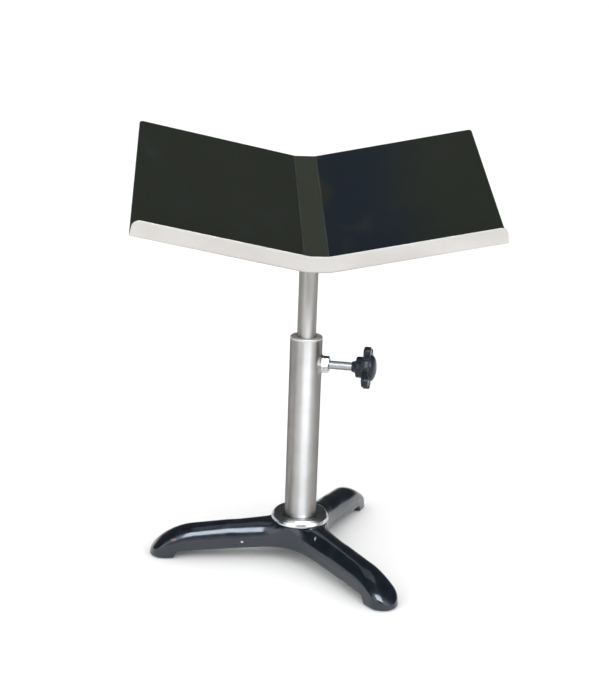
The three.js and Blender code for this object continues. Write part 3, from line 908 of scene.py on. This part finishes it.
def nut_bead():
    """A run of weld round the nut: its toe lies on the tube and its crest on the nut's sides."""
    segments = 240
    ring = 10
    laps = 22
    points = []
    for k in range(segments):
        a = 2 * math.pi * k / segments
        c, s = math.cos(a), math.sin(a)
        lap = 0.5 * math.sqrt(abs(math.sin(a * laps / 2)))
        wobble = 0.35 * math.sin(3 * a + 0.6) + 0.2 * math.sin(7 * a)
        toe = ((c / BEAD_WIDE) ** 2 + (s / BEAD_HIGH) ** 2) ** -0.5 + 0.7 * lap + wobble
        inner = hex_radius(a, NUT_AF) - 0.3
        crest = NUT_IN + 0.9 + 0.5 * lap + 0.4 * math.sin(4 * a + 2)
        surface = math.sqrt(TUBE_R**2 - (toe * c) ** 2) - 0.25
        knee_r = mix(inner, toe, 0.5)
        knee_z = mix(surface, crest, 0.62) + 0.5 * lap
        for j in range(ring):
            t = j / (ring - 1)
            r = (1 - t) ** 2 * toe + 2 * t * (1 - t) * knee_r + t * t * inner
            z = (1 - t) ** 2 * surface + 2 * t * (1 - t) * knee_z + t * t * crest
            floor = math.sqrt(TUBE_R**2 - min(r * abs(c), TUBE_R) ** 2) - 0.25
            points.append((r * c, r * s, max(z, floor)))
        for r in (inner - 0.4, SCREW_R + 0.6):
            under = math.sqrt(TUBE_R**2 - (r * c) ** 2) - 0.25
            points.append((r * c, r * s, max(under, NUT_IN - 0.1) if r > 7 else under))
    faces = grid_faces(segments, ring + 2, wrap_rows=True, wrap_columns=True)
    piece(
        "nut_bead",
        points,
        faces,
        WELD,
        "base",
        "clamp_weld_bead",
        "weld_metal",
        sharp=60,
        place=on_clamp,
    )


nut_bead()

THREAD_PITCH = 1.5
THREAD_DEPTH = 0.8
THREAD_END = NUT_OUT + 0.6
SCREW_TIP = POST_R + 2.4
SCREW_END = LOBE_OUT - 4.5


def screw():
    segments = 48
    heights = []
    z = SCREW_TIP + 0.9
    while z < THREAD_END:
        heights.append(z)
        z += THREAD_PITCH / 12
    points = []

    def ring(radius, z):
        for k in range(segments):
            a = 2 * math.pi * k / segments
            r = radius(a, z) if callable(radius) else radius
            points.append((r * math.cos(a), r * math.sin(a), z))

    def thread(a, z):
        phase = (z / THREAD_PITCH - a / (2 * math.pi)) % 1
        groove = clamp01((0.5 - abs(phase - 0.5)) * 2.6 - 0.25)
        fade = smooth((THREAD_END - z) / 2.5) * smooth((z - SCREW_TIP) / 2)
        return SCREW_R - THREAD_DEPTH * groove * fade

    ring(2.2, SCREW_TIP + 4)
    ring(2.2, SCREW_TIP)
    ring(SCREW_R - 0.9, SCREW_TIP)
    for z in heights:
        ring(thread, z)
    ring(SCREW_R, THREAD_END)
    ring(SCREW_R, SCREW_END - 0.8)
    ring(SCREW_R - 0.8, SCREW_END)
    count = len(points) // segments
    faces = grid_faces(count, segments)
    faces.append(tuple(range(segments)))
    faces.append(tuple(range((count - 1) * segments, count * segments)))
    piece(
        "screw",
        points,
        faces,
        PLATED,
        "knob",
        "clamp_screw",
        "zinc_steel",
        sharp=40,
        place=on_clamp,
    )


screw()

LOBES = 6
LOBE_PHASE = 37 * RAD
LOBE_HALF = 7.1
WAIST = 14.6


def lobe_radius(a):
    """The star's outline: blunt lobes with square ends, filleted into a round waist."""
    step = 2 * math.pi / LOBES
    off = (a - LOBE_PHASE + step / 2) % step - step / 2
    block = ((math.cos(off) / KNOB_R) ** 6 + (abs(math.sin(off)) / LOBE_HALF) ** 6) ** (-1 / 6)
    return (block**9 + WAIST**9) ** (1 / 9)


def knob():
    segments = 300
    bore = SCREW_R + 0.15
    middle = (LOBE_IN + LOBE_OUT) / 2
    profile = [
        (bore, KNOB_IN + 4, 0),
        (bore, KNOB_IN + 0.4, 0),
        (bore + 0.3, KNOB_IN, 0),
        (5.8, KNOB_IN, 0),
        (6.1, KNOB_IN + 0.15, 0),
        (6.3, KNOB_IN + 0.6, 0),
        (6.5, KNOB_IN + 1.8, 0),
        (6.9, KNOB_IN + 3, 0),
        (7.6, KNOB_IN + 4, 0),
        (8.8, KNOB_HUB - 0.2, 0),
        (10.6, KNOB_HUB, 0),
        (11.6, KNOB_HUB + 0.2, 0),
        (12.2, KNOB_HUB + 0.8, 0),
        (12.4, KNOB_HUB + 1.6, 0),
        (12.6, LOBE_IN - 0.8, 0),
        (13.1, LOBE_IN - 0.1, 0),
        (14.0, LOBE_IN, 0),
        (-1.3, LOBE_IN, 1),
        (-0.6, LOBE_IN + 0.2, 1),
        (-0.15, LOBE_IN + 0.65, 1),
        (0, LOBE_IN + 1.3, 1),
        (0.08, middle - 0.3, 1),
        (0.18, middle, 1),
        (0.08, middle + 0.3, 1),
        (0, LOBE_OUT - 1.3, 1),
        (-0.15, LOBE_OUT - 0.65, 1),
        (-0.6, LOBE_OUT - 0.2, 1),
        (-1.1, LOBE_OUT, 1),
        (DOME_R, LOBE_OUT + 0.05, 0),
    ]
    for k in range(1, 15):
        t = k / 14 * math.pi / 2
        high = LOBE_OUT + 0.3 + (KNOB_END - LOBE_OUT - 0.3) * math.sin(t)
        profile.append((0.3 + (DOME_R - 0.3) * math.cos(t) ** 0.9, high, 0))
    points = []
    for r, z, lobed in profile:
        for k in range(segments):
            a = 2 * math.pi * k / segments
            radius = lobe_radius(a) + r if lobed else r
            points.append((radius * math.cos(a), radius * math.sin(a), z))
    faces = grid_faces(len(profile), segments)
    faces.append(tuple(range((len(profile) - 1) * segments, len(profile) * segments)))
    faces.append(tuple(range(segments)))
    piece(
        "star_knob",
        points,
        faces,
        PLASTIC,
        "knob",
        "knob_body",
        "knob_plastic",
        sharp=48,
        place=on_clamp,
    )


knob()

# ---- Tray --------------------------------------------------------------------------------------


def folded(a, y, n):
    """Point at distance a along the folded sheet from the spine's middle, raised n off its surface.

    The fold is tight across the plate and opens into an easy curve at the lip, where the
    upright strip can't be creased.
    """
    reach = mix(4.6, 1.2, smooth((y + FRONT - 4) / 16))
    start, end = SPINE_HALF - reach, SPINE_HALF + reach
    away = abs(a)
    sign = 1 if a >= 0 else -1
    radius = (end - start) / WING_RISE
    if away <= start:
        x, z, turn = away, 0.0, 0.0
    elif away < end:
        turn = (away - start) / radius
        x = start + radius * math.sin(turn)
        z = radius * (1 - math.cos(turn))
    else:
        turn = WING_RISE
        x = start + radius * math.sin(turn) + (away - end) * math.cos(turn)
        z = radius * (1 - math.cos(turn)) + (away - end) * math.sin(turn)
    if n > 0.98 * radius:
        n = 0.98 * radius
    return (sign * (x - n * math.sin(turn)), y, z + n * math.cos(turn))


def corner_cut(radius, d):
    """How far a rounded corner cuts in at distance d from the sheet's end."""
    if d >= radius:
        return 0.0
    return radius - math.sqrt(max(0.0, radius**2 - (radius - d) ** 2))


def stations_to(end, radius):
    fold = [SPINE_HALF - 5 + k * 0.5 for k in range(21)]
    wing = [22 + k * (end - radius - 22) / 26 for k in range(27)]
    corner = [end - radius * math.cos(k / 12 * math.pi / 2) ** 1.5 for k in range(1, 13)]
    half = [0, 2.5, 5] + fold + wing + corner
    return [-a for a in reversed(half[1:])] + half


def swept(stations, profile_at):
    points, faces = [], []
    count = len(profile_at(stations[0]))
    for a in stations:
        points.extend(folded(a, y, n) for y, n in profile_at(a))
    faces = grid_faces(len(stations), count, wrap_rows=False, wrap_columns=True)
    faces.append(tuple(range(count)))
    faces.append(tuple(range((len(stations) - 1) * count, len(stations) * count)))
    return points, faces


def sheet_profile(a):
    d = SHEET_END - abs(a)
    lip_top = LIP - corner_cut(LIP_CORNER, d)
    back = BACK - corner_cut(BACK_CORNER, d)
    top = -FACE - GAP
    under = top - SHEET
    outer = BEND + SHEET
    turn_at = -FRONT + outer
    edge = 0.25
    steps = 8
    arc = [k / steps * math.pi / 2 for k in range(steps + 1)]
    plate = [turn_at + (back - edge - turn_at) * k / 14 for k in range(1, 14)]
    lower = [(y, under) for y in reversed(plate)]
    upper = [(y, top) for y in plate]
    outside = [(turn_at - outer * math.sin(t), under + outer - outer * math.cos(t)) for t in arc]
    inside = [(turn_at - BEND * math.cos(t), top + BEND - BEND * math.sin(t)) for t in arc]
    rise = [under + outer + (lip_top - edge - under - outer) * k / 5 for k in range(1, 5)]
    front = [(-FRONT, n) for n in rise]
    rear = [(-FRONT + SHEET, n) for n in reversed(rise)]
    rim = [
        (-FRONT, lip_top - edge),
        (-FRONT + edge * 0.3, lip_top - edge * 0.3),
        (-FRONT + edge, lip_top),
        (-FRONT + SHEET - edge, lip_top),
        (-FRONT + SHEET - edge * 0.3, lip_top - edge * 0.3),
        (-FRONT + SHEET, lip_top - edge),
    ]
    heel = [
        (back - edge, top),
        (back - edge * 0.3, top - edge * 0.3),
        (back, top - edge),
        (back, under + edge),
        (back - edge * 0.3, under + edge * 0.3),
        (back - edge, under),
    ]
    return heel + lower + outside + front + rim + rear + inside + upper


piece(
    "tray_plate",
    *swept(stations_to(SHEET_END, LIP_CORNER), sheet_profile),
    SHEET_STEEL,
    "mast",
    "tray_sheet",
    "satin_steel",
    sharp=60,
    place=on_tray,
)

WRAP = 0.15
WRAP_DROP = 1.75
FACE_END = SHEET_END + WRAP


def face_profile(a):
    """The gloss skin: it lies on the sheet and is turned down over its back and side edges."""
    cut_in = corner_cut(BACK_CORNER, FACE_END - abs(a))
    back = BACK + WRAP - cut_in
    inner = BACK + 0.03 - cut_in
    front = -FRONT + SHEET + BEND + 0.2
    low = -WRAP_DROP if abs(a) > SHEET_END + 0.02 else -FACE
    across = [front + 0.3 + (inner - 0.6 - front - 0.3) * k / 18 for k in range(19)]
    upper = [(y, 0) for y in across]
    lower = [(y, low) for y in reversed(across)]
    rim = [(back - 0.15, 0), (back, -0.15), (back, -WRAP_DROP), (inner, -WRAP_DROP), (inner, low)]
    return [(front, -0.2), *upper, *rim, *lower, (front, low)]


def face_stations():
    inner = stations_to(SHEET_END + 0.02, BACK_CORNER)
    return [-FACE_END, -SHEET_END - 0.03, *inner[1:-1], SHEET_END + 0.03, FACE_END]


piece(
    "tray_reading_face",
    *swept(face_stations(), face_profile),
    GLOSS,
    "mast",
    "tray_face",
    "tray_gloss",
    sharp=40,
    place=on_tray,
)

PLATE_W = 22
PLATE_L = 100


def support_plate():
    """The plate under the spine, with eased edges, and four short welds that hold the tray to it."""
    outline_line = rounded(
        [
            (-PLATE_W / 2, -PLATE_L / 2, 5),
            (PLATE_W / 2, -PLATE_L / 2, 5),
            (PLATE_W / 2, PLATE_L / 2, 5),
            (-PLATE_W / 2, PLATE_L / 2, 5),
        ],
        8,
    )
    low, high = PLATE_TOP - PLATE_T, PLATE_TOP
    edge = 0.5
    points = []
    for inset, n in ((edge, low), (edge * 0.3, low + edge * 0.3), (0, low + edge), (0, high)):
        for x, y in outline_line:
            kx, ky = 1 - inset / (PLATE_W / 2), 1 - inset / (PLATE_L / 2)
            points.append((x * kx, y * ky, n))
    count = len(outline_line)
    faces = grid_faces(4, count)
    faces.append(tuple(range(count)))
    faces.append(tuple(range(3 * count, 4 * count)))
    piece(
        "spine_plate",
        points,
        faces,
        SATIN,
        "mast",
        "tray_support_plate",
        "satin_steel",
        sharp=50,
        place=on_tray,
    )
    for index, (sx, middle) in enumerate(((-1, -34), (1, -34), (-1, 34), (1, 34))):
        points = []
        length, ring, slices = 16, 12, 40
        for i in range(slices + 1):
            t = i / slices
            size = 1.7 * math.sqrt(max(0.0, 1 - (2 * t - 1) ** 6)) + 0.05
            size += 0.18 * math.sin(t * math.pi * 2 * 7)
            size = max(size, 0.05)
            for k in range(ring):
                a = 2 * math.pi * k / ring
                x = sx * (PLATE_W / 2 + 0.1) + size * 0.8 * math.cos(a)
                n = PLATE_TOP - 0.5 + size * 0.75 * math.sin(a)
                points.append((x, middle + (t - 0.5) * length, min(n, PLATE_TOP + 0.1)))
        faces = grid_faces(slices + 1, ring)
        faces.append(tuple(range(ring)))
        faces.append(tuple(range(slices * ring, (slices + 1) * ring)))
        piece(
            f"plate_weld_{index + 1}",
            points,
            faces,
            WELD,
            "mast",
            None,
            "weld_metal",
            sharp=60,
            place=on_tray,
        )


support_plate()

# ---- Hidden pieces keep their CAD meshes, with better materials --------------------------------

CARRIED = {
    "base_bolt": PLATED,
    "base_flat_washer": PLATED,
    "base_spring_washer": PLATED,
    "column_foot_plug": PLATED,
    "pressure_pad": BRASS,
    "knob_insert": BRASS,
    "post_end_plug": PLATED,
    "post_guide": NYLON,
    "guide_washer": PLATED,
    "guide_screw": PLATED,
}
for name, material in CARRIED.items():
    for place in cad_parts[name].material_slots:
        place.material = material

# ---- Floor, light and camera -------------------------------------------------------------------


def stage_floor():
    reach = 300
    mesh = bpy.data.meshes.new("floor")
    corners = [(-reach, -reach, 0), (reach, -reach, 0), (reach, reach, 0), (-reach, reach, 0)]
    mesh.from_pydata(corners, [], [(0, 1, 2, 3)])
    floor = bpy.data.objects.new("floor", mesh)
    bpy.context.scene.collection.objects.link(floor)
    paint = Surface("floor_paint", (0.86, 0.86, 0.855), 0.75)
    cloud = paint.noise(0.004, 3)
    paint.color(paint.blend(paint.band(cloud, 0.3, 0.7), (0.85, 0.85, 0.845), (0.88, 0.88, 0.875)))
    mesh.materials.append(paint.material)


stage_floor()


def lamp(name, kind, azimuth, elevation, distance, color, energy):
    """A light that shines at the stand from an azimuth and elevation, in degrees."""
    data = bpy.data.lights.new(name, kind)
    data.color = color
    data.energy = energy
    made = bpy.data.objects.new(name, data)
    bpy.context.scene.collection.objects.link(made)
    around, up = azimuth * RAD, elevation * RAD
    level = math.cos(up)
    towards = Vector((level * math.cos(around), level * math.sin(around), math.sin(up)))
    turn = towards.to_track_quat("Z", "Y").to_matrix().to_4x4()
    made.matrix_world = Matrix.Translation(towards * distance + Vector((0, 0, 0.1))) @ turn
    return made


def studio_light():
    """An even overhead fill, a softbox in front, and a dim room that is pale on the front's two sides.

    The dim part is what the tray's gloss face and the tops of the legs reflect, so they stay
    black. A thin white band lies on the horizon, behind the floor's far edge, and the backdrop
    that is seen directly is white all over.
    """
    fill = lamp("fill", "SUN", -90, 78, 3, (1, 1, 1), 3.6)
    fill.data.angle = 150 * RAD
    fill.visible_glossy = False
    key = lamp("softbox", "AREA", -82, 43, 3, (0.85, 0.92, 1.0), 118)
    key.data.shape = "RECTANGLE"
    key.data.size = 2.3
    key.data.size_y = 1.4
    key.visible_diffuse = False

    world = bpy.data.worlds.new("room")
    bpy.context.scene.world = world
    world.use_nodes = True
    room = Graph(world.node_tree)
    place = room.node("ShaderNodeTexCoord")
    split = room.node("ShaderNodeSeparateXYZ")
    room.join(place.outputs["Generated"], split.inputs["Vector"])
    x, y, z = split.outputs
    ahead = room.band(y, -0.2, -0.65)
    beside = room.band(room.maths("ABSOLUTE", x), 0.15, 0.45)
    low = room.band(z, 0.3, 0.12, 0.08, 0.5)
    rows = room.maths("MULTIPLY", room.band(z, 0.9, 0.6), ahead)
    spread = room.maths("MULTIPLY", rows, room.maths("MAXIMUM", beside, low))
    wall = room.maths("ADD", room.maths("MULTIPLY", spread, 1.7), 0.06)
    horizon = room.band(z, 0.05, 0.02, 0, 1.05)
    shade = world.node_tree.nodes["Background"]
    seen = room.node("ShaderNodeLightPath").outputs["Is Camera Ray"]
    backdrop = room.maths("MAXIMUM", horizon, seen)
    room.join(room.maths("MAXIMUM", wall, backdrop), shade.inputs["Strength"])
    shade.inputs["Color"].default_value = (0.97, 0.985, 1.0, 1)


studio_light()


def camera():
    focal_pixels, long_side, sensor = 1275.2, 684, 36
    at = Vector((-0.1247, -1.4356, 0.6628))
    pitch, yaw, roll = 15.36 * RAD, 4.88 * RAD, 2.05 * RAD
    ahead = Vector((math.sin(yaw) * math.cos(pitch), math.cos(yaw) * math.cos(pitch), -math.sin(pitch)))
    level = Vector((math.cos(yaw), -math.sin(yaw), 0))
    above = level.cross(ahead)
    right = math.cos(roll) * level + math.sin(roll) * above
    up = math.cos(roll) * above - math.sin(roll) * level
    data = bpy.data.cameras.new("camera")
    data.sensor_width = sensor
    data.lens = focal_pixels * sensor / long_side
    data.clip_end = 100
    made = bpy.data.objects.new("camera", data)
    bpy.context.scene.collection.objects.link(made)
    turn = Matrix((right, up, -ahead)).transposed().to_4x4()
    made.matrix_world = Matrix.Translation(at) @ turn
    bpy.context.scene.camera = made


camera()
bpy.context.scene.view_settings.view_transform = "Standard"
